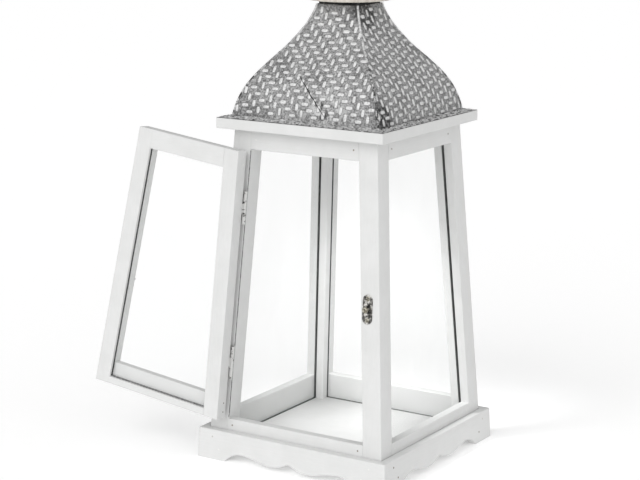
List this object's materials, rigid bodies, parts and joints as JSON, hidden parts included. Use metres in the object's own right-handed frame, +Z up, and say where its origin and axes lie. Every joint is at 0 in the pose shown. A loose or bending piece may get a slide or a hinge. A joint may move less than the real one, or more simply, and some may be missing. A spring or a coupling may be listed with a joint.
{
  "type": "hurricane candle lantern",
  "caption": "Tapered white wooden lantern with glass panes, a hinged glazed door with hook latch, scalloped skirt and an ogee embossed metal roof under a capped carry ring.",
  "frame": {"origin": "centre of the plane that the skirt's feet stand on", "axes": "+Z up; the door is on the -Y side, hinged at its -X edge"},
  "size_m": [0.2976, 0.2037, 0.4313],
  "materials": {
    "white_paint": "matte white paint on pine, slightly worn",
    "cap_paint": "whitewashed turned wood",
    "clear_glass": "clear 2 mm sheet",
    "antiqued_zinc": "embossed, antiqued galvanised sheet",
    "black_sheet": "matte black",
    "dark_iron": "dark antique",
    "worn_brass": "worn antique brass",
    "brad_steel": "dull"
  },
  "bodies": {
    "lantern_body": {"bottom_rail_back": "white_paint", "bottom_rail_front": "white_paint", "bottom_rail_left": "white_paint", "bottom_rail_right": "white_paint", "cap_eye": "dark_iron", "catch_plate": "dark_iron", "catch_screws": "worn_brass", "catch_stud": "worn_brass", "corner_post_back_left": "white_paint", "corner_post_back_right": "white_paint", "corner_post_front_left": "white_paint", "corner_post_front_right": "white_paint", "floor_board": "white_paint", "glass_back": "clear_glass", "glass_left": "clear_glass", "glass_right": "clear_glass", "hinge_pin_lower": "dark_iron", "hinge_pin_upper": "dark_iron", "hinge_post_leaf_lower": "dark_iron", "hinge_post_leaf_upper": "dark_iron", "hinge_post_screws": "worn_brass", "hip_seam_back_left": "antiqued_zinc", "hip_seam_back_right": "antiqued_zinc", "hip_seam_front_left": "antiqued_zinc", "hip_seam_front_right": "antiqued_zinc", "rail_brads": "brad_steel", "roof_board": "white_paint", "roof_cap": "cap_paint", "roof_flange": "antiqued_zinc", "roof_panel_back": "antiqued_zinc", "roof_panel_front": "antiqued_zinc", "roof_panel_left": "antiqued_zinc", "roof_panel_right": "antiqued_zinc", "skirt_back": "white_paint", "skirt_brads": "brad_steel", "skirt_front": "white_paint", "skirt_left": "white_paint", "skirt_right": "white_paint", "top_rail_back": "white_paint", "top_rail_front": "white_paint", "top_rail_left": "white_paint", "top_rail_right": "white_paint", "vent_collar": "black_sheet"},
    "door": {"door_bottom_rail": "white_paint", "door_brads": "brad_steel", "door_glass": "clear_glass", "door_hinge_stile": "white_paint", "door_latch_stile": "white_paint", "door_top_rail": "white_paint", "hinge_door_leaf_lower": "dark_iron", "hinge_door_leaf_upper": "dark_iron", "hinge_door_screws": "worn_brass", "hook_plate": "dark_iron", "hook_rivet": "worn_brass", "hook_screws": "worn_brass"},
    "latch_hook": {"hook_lever": "dark_iron"},
    "carry_ring": {"carry_ring": "dark_iron"}
  },
  "joints": [
    {"name": "door_hinge", "type": "hinge", "parent": "lantern_body", "child": "door", "pos_m": [-0.06094, -0.08229, 0.153], "axis": [0.0618, 0.0618, 0.9962], "range_deg": [0, 178.5]},
    {"name": "hook_swing", "type": "hinge", "parent": "door", "child": "latch_hook", "pos_m": [-0.17288, -0.08695, 0.16739], "axis": [-0.0261, 0.9978, -0.0602], "range_deg": [-25, 125]},
    {"name": "ring_swing", "type": "hinge", "parent": "lantern_body", "child": "carry_ring", "pos_m": [0, 0, 0.42567], "axis": [1, 0, 0], "range_deg": [0, 220.6]}
  ]
}
